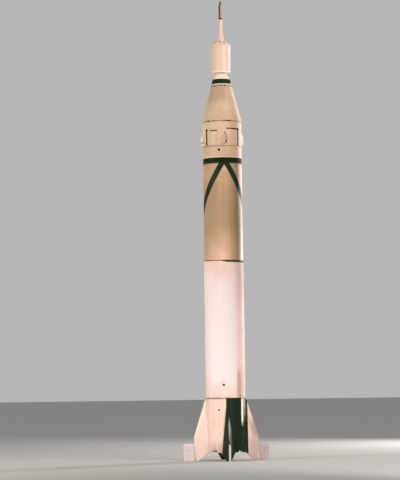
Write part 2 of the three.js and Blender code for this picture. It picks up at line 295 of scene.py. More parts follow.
FAIRING_LIT_WHITE = (0.97, 0.92, 0.84)
BLACK = (0.011, 0.027, 0.011)
SCUFF = (0.07, 0.075, 0.06)
EDGE_GLINT_GREY = (0.26, 0.25, 0.21)
FROST_WHITE = (0.84, 0.745, 0.75)
FROST_THIN = (0.82, 0.65, 0.58)

# Dirt, stains, darker tones and painted shade, as linear colours
SPECK = (0.16, 0.11, 0.07)
SEAM_GRIME = (0.2, 0.14, 0.09)
FIN_FOOT_SHADE = (0.5, 0.34, 0.28)
FIN_FRONT_SHADE = (0.4, 0.27, 0.22)
TAIL_LOW_DARK = (0.4, 0.3, 0.25)
TAIL_NOTCH_DARK = (0.3, 0.2, 0.15)
FROST_RUN = (0.68, 0.5, 0.44)
FROST_SIDE_SHADE = (0.68, 0.49, 0.43)
FROST_STREAK = (0.42, 0.25, 0.19)
FROST_STAIN = (0.58, 0.27, 0.18)

# Ring joints under which grime gathers
TAIL_SEAM = 2.822
BAND_SEAM = 13.55
RING_SEAM = 14.37
SECTION_SEAM = 15.505
NOSE_SEAM = 17.2

# The side the rim light falls on, painted paler as painted light: angles at which the paler paint begins, is
# full, begins to end and has ended
RIM_LIT_SIDE = (42.0, 60.0, 100.0, 150.0)


def seam_dirt(paint, heights, reach):
    """A mask of the grime that gathers under each ring joint and runs down from it."""
    length = paint.noise(9.0, 4.0, (1.0, 1.0, 0.12)) * reach + 0.02
    total = None
    for height in heights:
        below = height - paint.z
        mark = below.step(-0.004, 0.0) * (below / length).step(0.0, 1.0, 1.0, 0.0)
        total = mark if total is None else larger(total, mark)
    return total


def enamel(paint, colour, rough, cloud, runs, specks, dirt=None):
    """Sprayed enamel on sheet metal: cloudy tone, faint runs, specks of dirt and an uneven gloss."""
    clouds = paint.noise(1.1, 4.0).step(0.3, 0.72)
    streaks = paint.noise(6.5, 3.0, (1.0, 1.0, 0.05)).step(0.35, 0.7)
    painted = paint.dim(colour, 1.0 - clouds * cloud - streaks * runs)
    spots = paint.cells(34.0).step(0.09, 0.03) * paint.noise(3.0, 2.0).step(0.55, 0.66)
    painted = paint.stains(painted, (spots, specks, SPECK))
    if dirt is not None:
        painted = paint.stains(painted, (dirt, 0.45, SEAM_GRIME))
    roughness = paint.noise(5.0, 3.0) * 0.16 + (rough - 0.08)
    waves = paint.bump(paint.noise(2.2, 2.0, (1.0, 1.0, 0.6)), 0.004)
    grain = paint.bump(paint.noise(420.0, 2.0), 0.0002, waves)
    return painted, roughness, grain


def scuffed(paint, colour):
    """Black enamel with grey scuffs."""
    scuffs = paint.noise(14.0, 5.0, (1.0, 1.0, 0.4)).step(0.62, 0.8)
    return paint.stains(colour, (scuffs, 0.15, SCUFF))


def paint_rim_light(paint, colour, share):
    """Enamel painted paler on the side the rim light falls on: a painted highlight."""
    return paint.stains(colour, (paint.angle.window(*RIM_LIT_SIDE), share, RIM_LIGHT_PALE))


def black_paint():
    paint = Surface("black_enamel")
    colour, roughness, normal = enamel(paint, BLACK, 0.45, 0.1, 0.05, 0.0)
    return paint.finish(scuffed(paint, colour), roughness, normal, 0.04)


# Colour borders on the tail: where the fins' panels begin, the line of their front edge and the painted
# highlight along it
PANEL_OUT = 0.985
PANEL_BORDER = (PANEL_OUT - 0.003, PANEL_OUT + 0.003)
EDGE_OUT, EDGE_UP, EDGE_SLOPE = (0.963, 2.427, 0.3101)
GLINT_MIDDLE, GLINT_REACH, GLINT_HALF = (1.33, 0.53, 0.019)
NOSE_HALF = 0.07
# The angle of the painted highlight on the black quarter.
RIM_HIGHLIGHT_ANGLE = 52.0


def tail_paint():
    """White and black quarters, black panels on fins 1 and 3, and a painted highlight along the front edge of
    those fins.
    """
    paint = Surface("tail_enamel")
    x, z, angle = paint.x, paint.z, paint.angle
    aside_x = abs(x)
    aside_y = abs(paint.y)
    far_x = aside_x.step(*PANEL_BORDER)
    far_y = aside_y.step(*PANEL_BORDER)
    panel = larger(far_x, far_y)
    ahead = paint.radius - ((EDGE_UP - z) * EDGE_SLOPE + EDGE_OUT)
    slim = aside_x.step(NOSE_HALF, NOSE_HALF - 0.003) * aside_y.step(0.4, 0.5)
    quarter = (x * paint.y).step(0.0004, -0.0004) * (1.0 - far_x)
    dark = larger(larger(quarter, far_y), ahead.step(0.004, 0.01) * slim)
    # A narrow grey strip down the front edge of fins 1 and 3, where light glints on the rounded edge: a
    # painted highlight.
    off = (z - GLINT_MIDDLE) / GLINT_REACH
    edge_glint = ((1.0 - off * off) * GLINT_HALF - aside_x).step(0.0, 0.005) * far_y
    dirt = seam_dirt(paint, (TAIL_SEAM,), 0.12)
    white, roughness, normal = enamel(paint, WHITE, 0.46, 0.08, 0.06, 0.35, dirt)
    # Paler, pinker white on the left side and beside fin 1, and brighter still beside fin 1, where the lights
    # fall: painted light.
    lit_pink = larger(x.step(-0.55, -0.8), aside_x.step(0.26, 0.08)) * (1.0 - panel)
    white = paint.stains(white, (panel, 0.6, PANEL_WHITE), (lit_pink, 0.4, LIT_PINK_WHITE))
    white = paint.dim(white, aside_x.step(0.24, 0.04, 1.0, 1.08))
    # Painted light and shade on the fins: fin 2 darker low down and in a band behind its front edge, where
    # fin 1 shades it (painted shade), and paler at its root and top (painted light); a paler strip by the
    # front edge of the other fins is a painted highlight.
    shaded_fin_foot = x.step(PANEL_OUT, PANEL_OUT + 0.2) * z.step(1.9, 1.0)
    far_side = x.step(0.9, 0.95)
    edge = ahead.step(-0.034, -0.02) * panel * (1.0 - far_side)
    upper_fin = far_side * z.step(0.9, 1.3)
    root = upper_fin * larger(ahead.step(-0.16, -0.24), z.step(1.75, 2.1))
    shaded_fin_front = upper_fin * ahead.step(-0.17, -0.04) * z.step(1.95, 1.55)
    # Darker low on the tail, and darker still low down between the fins by the notches in the skirt.
    mottle = paint.noise(6.0, 4.0) * 0.35
    low_dark = (z + mottle).step(1.25, 0.65) * (1.0 - panel * 0.7)
    notch_dark = (abs(aside_x - aside_y) + mottle * 0.5).step(0.27, 0.12) * (z + mottle).step(0.98, 0.62)
    white = paint.stains(white, (shaded_fin_foot, 0.4, FIN_FOOT_SHADE), (edge, 0.35, EDGE_HIGHLIGHT_WHITE), (root, 0.7, ROOT_LIT_WHITE),
                         (shaded_fin_front, 0.6, FIN_FRONT_SHADE), (low_dark, 0.36, TAIL_LOW_DARK), (notch_dark, 0.4, TAIL_NOTCH_DARK))
    # A pale streak down the black quarter where the rim light glints on it: a painted highlight.
    rim_highlight = (abs(angle - RIM_HIGHLIGHT_ANGLE) + mottle * 6.0).step(7.3, 4.2) * z.step(1.5, 1.9)
    black = paint.stains(scuffed(paint, BLACK), (edge_glint, 1.0, EDGE_GLINT_GREY), (rim_highlight, 0.95, RIM_HIGHLIGHT_WHITE))
    smooth = dark * angle.step(40.0, 52.0)
    polish = angle.step(49.0, 58.0, 0.06, z.step(1.7, 2.1, 0.06, 0.5))
    gloss = dark.step(0.0, 1.0, 0.2, polish)
    return paint.finish(paint.mix(dark, white, black), roughness - smooth * 0.17, normal, gloss)


def rudder_paint():
    paint = Surface("rudder_enamel")
    base = paint.mix(paint.x.step(1.0, 1.2) * 0.45, RUDDER_WHITE, RUDDER_SHADE)
    return paint.finish(*enamel(paint, base, 0.48, 0.12, 0.04, 0.4), 0.3)


# The two edges of the sloping stripes: the height of each at fins 1 and 3, and how far it falls in a degree
STRIPE_EDGES = ((13.495, 0.0268), (13.95, 0.0249))


def buff_paint():
    """The upper tank: buff, with the black band's two sloping stripes on each side."""
    paint = Surface("buff_enamel")
    base = paint.mix(paint.noise(0.7, 3.0).step(0.35, 0.68), BUFF, BUFF_CLOUD)
    ragged = paint.z + paint.noise(1.6, 3.0) * 0.9
    spread = abs(paint.angle + 16.0).step(55.0, 8.0, 0.35, 1.0)
    base = paint.stains(base, (ragged.step(11.2, 9.7) * spread, 0.85, BUFF_COLD),
                        (ragged.step(12.5, 13.8), 0.75, BUFF_TOP))
    # The right side darker where the front lights fall away (painted shade), and the front brighter (painted
    # light).
    shaded_right = paint.angle.window(14.0, 50.0, 62.0, 110.0)
    base = paint.dim(base, shaded_right.step(0.0, 1.0, 1.05, 0.7))
    base = paint.dim(base, abs(paint.angle + 5.0).step(26.0, 8.0, 1.0, 1.16))
    base = paint_rim_light(paint, base, paint.z.step(10.5, 12.8, 0.08, 0.65))
    dirt = seam_dirt(paint, (BAND_SEAM,), 0.12)
    colour, roughness, normal = enamel(paint, base, 0.52, 0.1, 0.08, 0.3, dirt)
    across = paint.math("ARCTAN2", abs(paint.x), abs(paint.y)) * DEGREES
    above_low, above_high = [paint.z + across * fall - start for start, fall in STRIPE_EDGES]
    stripe = above_low.step(-0.004, 0.004) * above_high.step(0.004, -0.004)
    return paint.finish(paint.mix(stripe, colour, BLACK), roughness, normal, 0.13)


def cream_paint():
    paint = Surface("cream_enamel")
    base = paint.mix(paint.noise(0.9, 3.0).step(0.35, 0.68), CREAM, CREAM_CLOUD)
    # The left of the nose's top darker (painted shade), and the front of the instrument section brighter
    # (painted light).
    top = paint.z.step(16.0, 16.9) * paint.angle.step(36.0, 4.0)
    base = paint.dim(base, top.step(0.0, 1.0, 1.0, 0.8))
    lit = paint.z.window(14.36, 14.4, 15.5, 15.52) * paint.angle.step(28.0, 8.0)
    base = paint_rim_light(paint, paint.dim(base, lit.step(0.0, 1.0, 1.0, 1.12)), 0.5)
    dirt = seam_dirt(paint, (RING_SEAM, SECTION_SEAM, NOSE_SEAM), 0.14)
    return paint.finish(*enamel(paint, base, 0.44, 0.1, 0.06, 0.35, dirt), 0.3)


def tub_paint():
    """Pale warm enamel, with the tub's lowest hoop and underside painted near white and the turntable housing
    below painted paler, for the light from below: painted light.
    """
    paint = Surface("pale_enamel")
    base = paint.mix(paint.z.step(17.78, 17.77), TUB_PALE, TURNTABLE_LIT_PALE)
    base = paint.mix(paint.z.window(17.795, 17.8, 17.862, 17.868), base, HOOP_LIT_WHITE)
    return paint.finish(*enamel(paint, paint_rim_light(paint, base, 0.9), 0.4, 0.07, 0.05, 0.25), 0.6)


def jet_paint():
    paint = Surface("fairing_enamel")
    # The fairings at the sides painted near white for the strong key light on them: painted light.
    base = paint.mix(abs(paint.x).step(0.6, 0.8), FAIRING_CREAM, FAIRING_LIT_WHITE)
    return paint.finish(*enamel(paint, base, 0.45, 0.07, 0.05, 0.25), 0.25)


def frosted_skin():
    """Frost over white paint: white and thick in the middle of the tank, thin and creamy near its ends."""
    frost = Surface("frost")
    z, angle = frost.z, frost.angle
    ends = z.window(2.9, 4.3, 7.6, 9.0)
    colour = frost.mix((ends * 0.4 + frost.noise(1.4, 5.0)).step(0.35, 0.85), FROST_THIN, FROST_WHITE)
    crystals = frost.noise(110.0, 3.0)
    colour = frost.dim(colour, crystals.step(0.2, 0.8, 0.94, 1.03))
    runs = frost.noise(7.0, 3.0, (1.0, 1.0, 0.04)).step(0.56, 0.74)
    near_ends = larger(z.step(6.4, 8.2), z.step(4.5, 3.9))
    # The right side darker and pinker where the lights fall away: painted shade.
    shaded_side = angle.window(22.0, 48.0, 95.0, 125.0) * near_ends.step(0.0, 1.0, 0.6, 0.95)
    streak = abs(angle - 38.0).step(9.0, 4.0) * z.step(4.3, 3.8)
    foot = (z + frost.noise(4.0, 4.0) * 0.5).step(3.35, 3.0) * frost.noise(2.6, 4.0).step(0.42, 0.62)
    colour = frost.stains(colour, (runs, 0.16, FROST_RUN), (shaded_side, 1.0, FROST_SIDE_SHADE),
                          (streak, 0.5, FROST_STREAK), (foot, 0.6, FROST_STAIN))
    rime = frost.bump(crystals, 0.0015, frost.bump(frost.noise(38.0, 5.0), 0.004))
    return frost.finish(colour, crystals.step(0.2, 0.8, 0.58, 0.85), rime, 0.12, matt=1.0)


def steel(name, tone, roughness, shine=1.0):
    """Worn steel: brush marks, stains and uneven polish."""
    metal = Surface(name)
    marks = metal.noise(24.0, 4.0, (1.0, 1.0, 14.0))
    colour = metal.dim(tone, marks.step(0.25, 0.75, 0.8, 1.12))
    colour = metal.stains(colour, (metal.noise(3.0, 4.0).step(0.4, 0.75), 0.45, metal.dim(tone, 0.45)))
    return metal.finish(colour, marks * 0.25 + (roughness - 0.1), metal.bump(marks, 0.0006), metal=shine)


def hot_steel():
    """The engine bell: blued and browned by heat, with the lines of its cooling passages."""
    metal = Surface("hot_steel")
    flutes = metal.math("SINE", metal.angle * (math.pi / 1.5))
    heat = (metal.z + metal.noise(5.0, 3.0) * 0.2).step(0.75, 1.3)
    colour = metal.mix(heat, (0.3, 0.24, 0.2), (0.12, 0.11, 0.14))
    colour = metal.dim(colour, flutes.step(-1.0, 1.0, 0.75, 1.1))
    roughness = metal.noise(12.0).step(0.2, 0.8, 0.3, 0.5)
    return metal.finish(colour, roughness, metal.bump(flutes, 0.002), metal=1.0)


def striped_steel():
    """Sanded dark steel with pale stripes along it. Its dark tone is painted shade for the dark surround it
    reflects, and the broad stripe at 42 degrees is set on the side the rim light falls on, so it is partly
    painted light.
    """
    metal = Surface("striped_steel")
    grain = metal.noise(260.0, 3.0)
    dark = metal.mix(metal.noise(9.0, 4.0, (1.0, 1.0, 0.3)), (0.1, 0.068, 0.045), (0.17, 0.11, 0.08))
    wave = metal.math("COSINE", (metal.angle - 42.0) * (math.pi / 90.0))
    stripe = wave.step(-0.05, 0.05) * metal.z.step(21.02, 21.01)
    colour = metal.mix(stripe, dark, metal.dim((0.46, 0.33, 0.27), grain.step(0.2, 0.8, 0.92, 1.06)))
    colour = metal.mix(metal.z.step(21.08, 21.12), colour, (0.36, 0.42, 0.33))
    roughness = grain.step(0.2, 0.8, 0.38, 0.6)
    return metal.finish(colour, roughness, metal.bump(grain, 0.0002), metal=(1.0 - stripe) * 0.6)


def carbon():
    """Machined graphite, scorched at its front edge."""
    metal = Surface("carbon")
    grain = metal.noise(90.0, 4.0)
    colour = metal.mix(metal.z.step(0.58, 0.65), (0.035, 0.034, 0.034), (0.1, 0.09, 0.085))
    colour = metal.dim(colour, grain.step(0.2, 0.8, 0.8, 1.3))
    return metal.finish(colour, grain.step(0.2, 0.8, 0.5, 0.8), metal.bump(grain, 0.0005))


def dark_seal():
    """Dark matt sealing strips and joints, and painted shadow: the shade of open slots and holes, and dark
    strips where shadows fall.
    """
    metal = Surface("dark_seal")
    grain = metal.noise(60.0, 4.0)
    colour = metal.mix(grain, (0.022, 0.011, 0.006), (0.045, 0.026, 0.014))
    return metal.finish(colour, grain.step(0.2, 0.8, 0.7, 0.9), metal.bump(grain, 0.0005), 0.15)


def floor_finish():
    surface = Surface("pale_floor")
    tone = surface.noise(0.12, 3.0).step(0.2, 0.8, 0.97, 1.03)
    return surface.finish(surface.dim(FLOOR_COLOUR, tone), 0.8)


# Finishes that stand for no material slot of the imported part
SEAL_AND_SHADOW = "dark_seal"
DARK = "dark_fitting"
JET_PAINT = "jet_paint"
EXTRA_LOOKS = (SEAL_AND_SHADOW, DARK, JET_PAINT)
LOOKS = {
    "tail_paint": tail_paint(),
    "rudder_paint": rudder_paint(),
    "frosted_tank": frosted_skin(),
    "buff_paint": buff_paint(),
    "cream_paint": cream_paint(),
    "tub_paint": tub_paint(),
    "black_paint": black_paint(),
    "joint_metal": steel("joint_metal", (0.07, 0.035, 0.02), 0.6, 0.2),
    "bare_steel": steel("bare_steel", (0.42, 0.39, 0.36), 0.38),
    "hot_steel": hot_steel(),
    "striped_steel": striped_steel(),
    "carbon": carbon(),
    DARK: steel(DARK, (0.03, 0.02, 0.013), 0.6, 0.2),
    SEAL_AND_SHADOW: dark_seal(),
    JET_PAINT: jet_paint(),
}


def four(kind):
    """The names of the four solids of one kind."""
    return [f"{kind}_{number}" for number in range(1, 5)]


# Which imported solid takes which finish
FINISHES = {
    "tail_paint": ["tail_shell", *four("fin")],
    "rudder_paint": four("rudder"),
    "frosted_tank": ["lower_tank", "fill_cap"],
    "buff_paint": ["upper_tank"],
    "cream_paint": ["instrument_base", "instrument_section", *four("access_door"), "nose_section"],
    "tub_paint": ["bearing_housing", "tub", "tub_flange", "tub_cover", "support_cone", "motor_case"],
    "black_paint": ["separation_ring", "nose_adapter"],
    "joint_metal": ["tail_joint_ring", "tank_joint_ring", "vent_port", "antenna_gap"],
    "bare_steel": ["base_plate", "engine_block", *four("vane_bracket")],
    "hot_steel": ["engine_nozzle"],
    "striped_steel": ["instrument_tube", "nose_cone"],
    "carbon": four("jet_vane"),
    JET_PAINT: four("jet_fairing"),
}

# Solids that keep their sharp edges, and the sizes for smoothing, joining and rounding the others
SHARP_SOLIDS = four("vane_bracket")
SMOOTH_ANGLE = 32.0
WELD_DISTANCE = 0.00004
SAME_CORNER = 0.000001
EDGE_WIDTH = 0.0025


def soft_edges():
    """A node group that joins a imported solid's faces and shades it smooth up to a limit angle."""
    group = bpy.data.node_groups.new("soft_edges", "GeometryNodeTree")
    group.interface.new_socket("Geometry", in_out="INPUT", socket_type="NodeSocketGeometry")
    group.interface.new_socket("Geometry", in_out="OUTPUT", socket_type="NodeSocketGeometry")
    start = group.nodes.new("NodeGroupInput")
    end = group.nodes.new("NodeGroupOutput")
    weld = group.nodes.new("GeometryNodeMergeByDistance")
    weld.inputs["Distance"].default_value = WELD_DISTANCE
    edge_angle = group.nodes.new("GeometryNodeInputMeshEdgeAngle")
    sharp = group.nodes.new("FunctionNodeCompare")
    sharp.operation = "GREATER_THAN"
    sharp.inputs[1].default_value = math.radians(SMOOTH_ANGLE)
    normals = group.nodes.new("GeometryNodeSetMeshNormal")
    normals.inputs["Remove Custom"].default_value = True
    normals.inputs["Face Sharpness"].default_value = False
    links = (
        (start.outputs[0], weld.inputs[0]),
        (weld.outputs[0], normals.inputs["Mesh"]),
        (edge_angle.outputs["Unsigned Angle"], sharp.inputs[0]),
        (sharp.outputs[0], normals.inputs["Edge Sharpness"]),
        (normals.outputs[0], end.inputs[0]),
    )
    for output, entry in links:
        group.links.new(output, entry)
    return group


def round_edges(piece, width):
    """A small rounding along the sharp edges of a piece."""
    rounding = piece.modifiers.new("rounded_edges", "BEVEL")
    rounding.width = width
    rounding.segments = 2
    rounding.limit_method = "ANGLE"
    rounding.angle_limit = math.radians(SMOOTH_ANGLE)
    rounding.harden_normals = True


def finish_solids():
    """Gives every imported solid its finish, smooth shading and small rounded edges."""
    group = soft_edges()
    for look, names in FINISHES.items():
        for name in names:
            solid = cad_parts[name]
            solid.data.materials.clear()
            solid.data.materials.append(LOOKS[look])
            smooth = solid.modifiers.new("soft_edges", "NODES")
            smooth.node_group = group
            if name not in SHARP_SOLIDS:
                round_edges(solid, EDGE_WIDTH)


def add_piece(name, corners, faces, look, body=AIRFRAME, bevel=0.0):
    """A new closed mesh in the rocket's frame that rides on a body."""
    mesh = bpy.data.meshes.new(name)
    mesh.from_pydata([tuple(corner) for corner in corners], [], faces)
    work = bmesh.new()
    work.from_mesh(mesh)
    bmesh.ops.remove_doubles(work, verts=work.verts, dist=SAME_CORNER)
    bmesh.ops.recalc_face_normals(work, faces=work.faces)
    work.to_mesh(mesh)
    work.free()
    mesh.shade_smooth()
    mesh.set_sharp_from_angle(angle=math.radians(SMOOTH_ANGLE))
    mesh.materials.append(LOOKS[look])
    piece = bpy.data.objects.new(name, mesh)
    bpy.context.scene.collection.objects.link(piece)
    if bevel > 0.0:
        round_edges(piece, bevel)
    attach(piece, body)
    look not in EXTRA_LOOKS
    return piece


def make_floor():
    circle = [at(360.0 * side / FLOOR_SIDES, FLOOR_RADIUS, 0.0) for side in range(FLOOR_SIDES)]
    mesh = bpy.data.meshes.new("floor")
    mesh.from_pydata(circle, [], [tuple(range(FLOOR_SIDES))])
    mesh.materials.append(floor_finish())
    floor = bpy.data.objects.new("floor", mesh)
    bpy.context.scene.collection.objects.link(floor)


def loft(rings, sides, closed=False):
    """The faces of a row of rings of corners: closed on its first ring, or else with a cap at each end."""
    faces = []
    for ring in range(rings if closed else rings - 1):
        low = ring * sides
        high = (ring + 1) % rings * sides
        for side in range(sides):
            after = (side + 1) % sides
            faces.append((low + side, low + after, high + after, high + side))
    if not closed:
        last = (rings - 1) * sides
        faces += [tuple(range(sides)), tuple(range(last, last + sides))]
    return faces


def merged(meshes):
    """The corners and faces of several closed meshes as those of one."""
    corners = []
    faces = []
    for more_corners, more_faces in meshes:
        faces += [tuple(corner + len(corners) for corner in face) for face in more_faces]
        corners += more_corners
    return corners, faces


def skin_axes(normal):
    """Two directions that lie in a skin: a level one and the one across it."""
    aside = normal.cross(UPWARD)
    aside = aside.normalized() if aside.length > 0.01 else Vector((1.0, 0.0, 0.0))
    return aside, normal.cross(aside)


def ring_of(centre, aside, across, radius, sides):
    """Points spread round a circle that lies in two directions."""
    turns = [math.tau * side / sides for side in range(sides)]
    return [centre + (aside * math.cos(turn) + across * math.sin(turn)) * radius for turn in turns]


# Frost relief on the lower tank: how many points round and up, its depth, the least of it, how far from the
# tank's ends it is whole, and the scales and depths of its clouds, lumps and runs
FROST_AROUND, FROST_UP = (288, 286)
FROST_DEEP = 0.024
FROST_LEAST = 0.0015
FROST_TAPER = 0.5
CLOUD_SCALE, CLOUD_MIDDLE, CLOUD_SWING = (1.3, 0.45, 0.5)
LUMP_SCALE, LUMP_DEPTH = (6.0, 0.006)
LUMP_SHIFT = Vector((9.0, 4.0, 2.0))
RUN_FINE, RUN_LONG, RUN_DEPTH = (9.0, 0.7, 0.003)

# The two ports round which the frost is thin, and the share of their reach that stays clear
PORT_CLEAR = 0.55
VENT = {"angle": -10.1, "height": 3.44, "reach": 0.16}
FILL_CAP = {"angle": 5.0, "height": 3.43, "reach": 0.15}


def frost_depth(angle, height, low, high):
    """How far the frost stands off the tank: thick in the middle, thin at its ends and round the ports."""
    spot = at(angle, BODY_RADIUS, height)
    clouds = noise.fractal(spot * CLOUD_SCALE, 0.9, 2.1, 5, noise_basis="PERLIN_ORIGINAL")
    lumps = noise.fractal(spot * LUMP_SCALE + LUMP_SHIFT, 0.8, 2.1, 4, noise_basis="PERLIN_ORIGINAL")
    runs = noise.noise(Vector((spot.x * RUN_FINE, spot.y * RUN_FINE, spot.z * RUN_LONG)))
    ends = min(1.0, (height - low) / FROST_TAPER, (high - height) / FROST_TAPER)
    depth = FROST_DEEP * (CLOUD_MIDDLE + CLOUD_SWING * clouds) + LUMP_DEPTH * lumps + RUN_DEPTH * runs
    for port in (VENT, FILL_CAP):
        away = (at(port["angle"], BODY_RADIUS, port["height"]) - spot).length
        depth *= min(1.0, max(0.0, (away - PORT_CLEAR * port["reach"]) / port["reach"]))
    return max(FROST_LEAST, depth * max(0.0, ends))


def make_frost():
    """The lower tank's skin with its frost, in place of the plain drum."""
    low, high = box_heights("lower_tank")
    corners = []
    for row in range(FROST_UP + 1):
        height = low + (high - low) * row / FROST_UP
        for column_number in range(FROST_AROUND):
            angle = 360.0 * column_number / FROST_AROUND
            corners.append(at(angle, BODY_RADIUS + frost_depth(angle, height, low, high), height))
    frost = add_piece("frosted_skin", corners, loft(FROST_UP + 1, FROST_AROUND), "frosted_tank")
    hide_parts("lower_tank")


# Heads of rivets, bolts and screws, and the lips of round ports: how many sides each has, whether it is open
# in the middle, and its rings as (share of the radius, share of the rise)
HEADS = {
    "rivet": (8, False, ((1.0, 0.0), (0.82, 0.6), (0.42, 1.0))),
    "bolt": (6, False, ((1.0, 0.0), (1.0, 0.8), (0.84, 1.0))),
    "screw": (12, False, ((1.0, 0.0), (0.94, 1.0), (0.4, 1.0), (0.34, 0.55))),
    "plug": (20, False, ((1.0, 0.0), (0.97, 0.8), (0.88, 1.0))),
    "dish": (24, False, ((1.0, 0.0), (0.98, 0.8), (0.92, 1.0), (0.74, 1.0), (0.7, 0.75), (0.7, 0.35))),
    "collar": (28, True, ((1.0, 0.0), (0.97, 0.8), (0.9, 1.0), (0.79, 1.0), (0.72, 0.8), (0.71, 0.0))),
}
RIVET = ("rivet", 0.008, 0.003)
BOLT = ("bolt", 0.011, 0.007)
SCREW = ("screw", 0.009, 0.002)
RIVET_SPACING = 0.055
SINK = 0.0022


def head_mesh(place, normal, kind, radius, rise):
    """One turned head on the skin, along its own direction."""
    sides, hollow, rings = HEADS[kind]
    aside, across = skin_axes(normal)
    corners = []
    for share, lift in rings:
        centre = place + normal * (rise * lift if lift > 0.0 else -SINK)
        corners += ring_of(centre, aside, across, radius * share, sides)
    return corners, loft(len(rings), sides, hollow)


def studs(name, spots, head, look, body=AIRFRAME):
    """One mesh of many heads. A spot is a place and a direction, a head is a kind, a radius and a rise."""
    return add_piece(name, *merged(head_mesh(*spot, *head) for spot in spots), look, body)


def facing(height, angles, radius=BODY_RADIUS):
    """Points of the skin at one height that face straight outward."""
    return [(at(angle, radius, height), outward(angle)) for angle in angles]


def around(height, count, radius=BODY_RADIUS, start=0.0, lean=0.0):
    """Points spread round a ring of the skin, which leans back by an angle on a cone."""
    spots = []
    for number in range(count):
        angle = start + 360.0 * number / count
        normal = outward(angle) * math.cos(math.radians(lean)) + UPWARD * math.sin(math.radians(lean))
        spots.append((at(angle, radius, height), normal))
    return spots


def column(angle, low, high, spacing, low_radius=BODY_RADIUS, high_radius=BODY_RADIUS):
    """Points in an upright row on the skin of a drum or cone."""
    count = max(2, round((high - low) / spacing))
    lean = math.atan2(low_radius - high_radius, high - low)
    normal = outward(angle) * math.cos(lean) + UPWARD * math.sin(lean)
    spots = []
    for number in range(count + 1):
        share = number / count
        radius = low_radius + (high_radius - low_radius) * share
        spots.append((at(angle, radius, low + (high - low) * share), normal))
    return spots


RING_SIDES = 144


def band(name, low, high, proud, look, radius=BODY_RADIUS, high_radius=None, body=AIRFRAME):
    """A thin hoop round the skin with chamfered edges."""
    top_radius = radius if high_radius is None else high_radius
    edge = min(proud, 0.3 * (high - low))
    outline = ((radius - SINK, low), (radius + proud, low + edge), (top_radius + proud, high - edge),
               (top_radius - SINK, high))
    corners = [at(360.0 * side / RING_SIDES, out, up) for side in range(RING_SIDES) for out, up in outline]
    return add_piece(name, corners, loft(RING_SIDES, len(outline), True), look, body)


PATCH_STEP = 2.5


def patch_mesh(start, end, low, high, proud, radius=BODY_RADIUS, high_radius=None):
    """Corners and faces of a curved plate on the skin between two angles and two heights."""
    top_radius = radius if high_radius is None else high_radius
    count = max(1, math.ceil((end - start) / PATCH_STEP))
    corners = []
    for number in range(count + 1):
        angle = start + (end - start) * number / count
        corners += [at(angle, radius - SINK, low), at(angle, radius + proud, low),
                    at(angle, top_radius + proud, high), at(angle, top_radius - SINK, high)]
    return corners, loft(count + 1, 4)


def patches(name, rows, look, body=AIRFRAME, bevel=0.0008):
    """One mesh of several curved plates. Each row gives the arguments of patch_mesh."""
    return add_piece(name, *merged(patch_mesh(*row) for row in rows), look, body, bevel)


def skin_of(node):
    """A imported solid's faces, to find the point where a line meets them."""
    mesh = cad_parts[node].data
    return BVHTree.FromPolygons([vertex.co for vertex in mesh.vertices],
                                [tuple(face.vertices) for face in mesh.polygons])


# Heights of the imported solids, and the radii of the skin
LOWER_HIGH = box_heights("lower_tank")[1]
UPPER_LOW = box_heights("upper_tank")[0]
BASE_RING_LOW = box_heights("instrument_base")[0]
SECTION_LOW, SECTION_HIGH = box_heights("instrument_section")
NOSE_HIGH = box_heights("nose_section")[1]
ADAPTER_LOW, ADAPTER_HIGH = box_heights("nose_adapter")
HOUSING_LOW, HOUSING_HIGH = box_heights("bearing_housing")
FLANGE_HIGH = box_heights("tub_flange")[1]
CONE_LOW, CONE_HIGH = box_heights("support_cone")
CASE_LOW, CASE_HIGH = box_heights("motor_case")
TUBE_LOW, TUBE_HIGH = box_heights("instrument_tube")
TUB_LOW = 17.808
TAPER_LOW = 15.62
TAPER_RADIUS = 0.452
RING_TOP_RADIUS = 0.413
HOUSING_RADII = (0.398, 0.217)
TUB_RADIUS = 0.43
FLANGE_RADIUS = 0.452
COVER_RADII = (0.44, 0.296)
CASE_RADIUS = 0.082
SHELL_INNER_RADIUS = 0.849
TAPER_LEAN = math.degrees(math.atan2(BODY_RADIUS - TAPER_RADIUS, NOSE_HIGH - TAPER_LOW))


def taper_radius(height):
    """Radius of the nose section's cone at a height."""
    return BODY_RADIUS + (TAPER_RADIUS - BODY_RADIUS) * (height - TAPER_LOW) / (NOSE_HIGH - TAPER_LOW)


def housing_radius(height):
    """Radius of the turntable's conical housing at a height."""
    low, high = HOUSING_RADII
    return low + (high - low) * (height - HOUSING_LOW) / (HOUSING_HIGH - HOUSING_LOW)


# Tail shell: heights of its rivet rings, angles from each fin of its rivet rows and inner stringers, and the
# wedge over a fin's root that stays free of rivets: its top, half its width there and how it spreads below
TAIL_RIVET_RINGS = (0.53, 0.735, 1.36, 2.04, 2.73)
TAIL_RIVET_ROWS = (27.0, 43.4, 46.6, 63.0)
TAIL_STRINGERS = (16.0, 31.0, 59.0, 74.0)
ROOT_TOP, ROOT_HALF, ROOT_SPREAD = (2.82, 0.075, 0.1)


def clear_of_fins(spot):
    """Whether a point of the tail's skin lies beside the fins' roots."""
    place = spot[0]
    angle = math.degrees(math.atan2(place.x, -place.y))
    off = abs((angle + 45.0) % 90.0 - 45.0)
    return math.radians(off) * BODY_RADIUS >= ROOT_HALF + ROOT_SPREAD * (ROOT_TOP - place.z)


